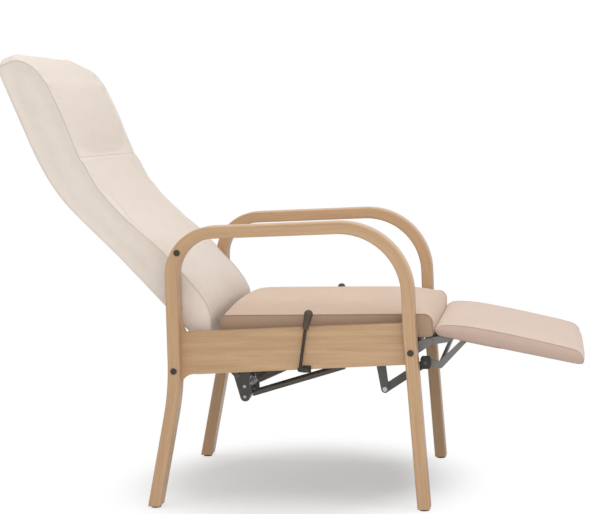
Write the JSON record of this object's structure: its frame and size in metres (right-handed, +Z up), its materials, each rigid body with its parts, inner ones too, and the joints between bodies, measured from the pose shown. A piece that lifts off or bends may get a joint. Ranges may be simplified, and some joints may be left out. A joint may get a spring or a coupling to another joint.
{
  "type": "reclining armchair",
  "caption": "Reclining armchair with bent beech side frames, upholstered seat, tall back with head section, fold-out footrest, gas spring and side release levers.",
  "frame": {"origin": "on the floor, under the middle of the whole chair's length and width with the back reclined and the footrest raised", "axes": "+X towards the footrest, +Y to the left of a person seated in the chair, +Z up"},
  "size_m": [1.3156, 0.6136, 1.0286],
  "materials": {
    "beech": "clear satin lacquer",
    "plywood": "raw",
    "upholstery": "smooth wipe-clean cover",
    "back_lining": "plain lining",
    "bronze_steel": "dark bronze",
    "black_steel": "black semi-gloss",
    "grey_steel": "zinc plated",
    "bright_rod": "polished",
    "nylon": "dark, lightly textured",
    "white_nylon": "natural",
    "rubber": "moulded"
  },
  "bodies": {
    "chair_frame": {"back_pivot_pins": "grey_steel", "buffer_blocks": "rubber", "clevis_pins": "grey_steel", "cross_nuts": "bronze_steel", "damper_clevis": "black_steel", "elbow_bolts": "grey_steel", "foot_glides": "nylon", "footrest_hinge_brackets": "grey_steel", "footrest_hinge_pins": "grey_steel", "frame_bolts": "bronze_steel", "front_cross_tube": "black_steel", "gas_spring_clevis": "black_steel", "left_back_pivot_plate": "grey_steel", "left_buffer_arm": "black_steel", "left_buffer_strap": "black_steel", "left_seat_batten": "beech", "left_side_frame": "beech", "left_side_rail": "beech", "lever_pins": "bronze_steel", "lever_plates": "bronze_steel", "middle_cross_rail": "beech", "rail_dowels": "beech", "rear_cross_rail": "beech", "right_back_pivot_plate": "grey_steel", "right_buffer_arm": "black_steel", "right_buffer_strap": "black_steel", "right_seat_batten": "beech", "right_side_frame": "beech", "right_side_rail": "beech", "seat_board": "plywood", "seat_cushion": "upholstery", "stay_pivot_pins": "grey_steel"},
    "back": {"back_board": "plywood", "back_cushion": "upholstery", "head_cushion": "upholstery", "back_cover": "back_lining", "right_back_arm": "grey_steel", "left_back_arm": "grey_steel", "pivot_bushes": "white_nylon", "right_spring_lever": "grey_steel", "left_spring_lever": "grey_steel", "spring_pins": "grey_steel", "spring_pin_collars": "grey_steel"},
    "footrest": {"footrest_board": "plywood", "footrest_cushion": "upholstery", "footrest_hinge_arms": "grey_steel", "stay_channels": "grey_steel"},
    "stays": {"right_footrest_stay": "grey_steel", "left_footrest_stay": "grey_steel", "stay_bar": "grey_steel", "stay_rollers": "nylon"},
    "gas_cylinder": {"gas_cylinder": "black_steel"},
    "gas_rod": {"gas_rod": "bright_rod"},
    "damper_cylinder": {"damper_cylinder": "black_steel"},
    "damper_rod": {"damper_rod": "bright_rod"},
    "right_lever": {"right_release_lever": "bronze_steel", "right_lever_grip": "nylon"},
    "left_lever": {"left_release_lever": "bronze_steel", "left_lever_grip": "nylon"}
  },
  "joints": [
    {"name": "back_recline", "type": "hinge", "parent": "chair_frame", "child": "back", "pos_m": [-0.16966, 0, 0.366], "axis": [0, 1, 0], "range_deg": [0, 18.3]},
    {"name": "footrest_fold", "type": "hinge", "parent": "chair_frame", "child": "footrest", "pos_m": [0.31534, 0, 0.374], "axis": [0, 1, 0], "range_deg": [0, 91.2]},
    {"name": "stay_turn", "type": "hinge", "parent": "chair_frame", "child": "stays", "pos_m": [0.30734, 0, 0.3285], "axis": [0, 1, 0], "range_deg": [0, 122.15]},
    {"name": "gas_spring_tilt", "type": "hinge", "parent": "back", "child": "gas_cylinder", "pos_m": [-0.14166, 0.035, 0.243], "axis": [0, 1, 0], "range_deg": [-15.36, 0]},
    {"name": "gas_rod_slide", "type": "slide", "parent": "gas_cylinder", "child": "gas_rod", "axis": [0.9162, 0, 0.4008], "range_m": [0, 0.03811]},
    {"name": "damper_tilt", "type": "hinge", "parent": "back", "child": "damper_cylinder", "pos_m": [-0.14166, -0.035, 0.218], "axis": [0, 1, 0], "range_deg": [-16.46, 0]},
    {"name": "damper_rod_slide", "type": "slide", "parent": "damper_cylinder", "child": "damper_rod", "axis": [0.9599, 0, 0.2804], "range_m": [0, 0.04658]},
    {"name": "right_lever_pull", "type": "hinge", "parent": "chair_frame", "child": "right_lever", "pos_m": [0.04434, 0, 0.3175], "axis": [0, -1, 0], "range_deg": [0, 12], "stiffness_Nm_per_rad": 1.2, "springref_deg": -5.73},
    {"name": "left_lever_pull", "type": "hinge", "parent": "chair_frame", "child": "left_lever", "pos_m": [0.04434, 0, 0.3175], "axis": [0, -1, 0], "range_deg": [0, 12], "stiffness_Nm_per_rad": 1.2, "springref_deg": -5.73}
  ],
  "couplings": [
    {"joint": "stay_turn", "follows": "footrest_fold", "ratio": 1.3389},
    {"joint": "gas_spring_tilt", "follows": "back_recline", "ratio": -0.83822},
    {"joint": "gas_rod_slide", "follows": "back_recline", "m_per_rad": 0.11918},
    {"joint": "damper_tilt", "follows": "back_recline", "ratio": -0.89828},
    {"joint": "damper_rod_slide", "follows": "back_recline", "m_per_rad": 0.14568}
  ]
}
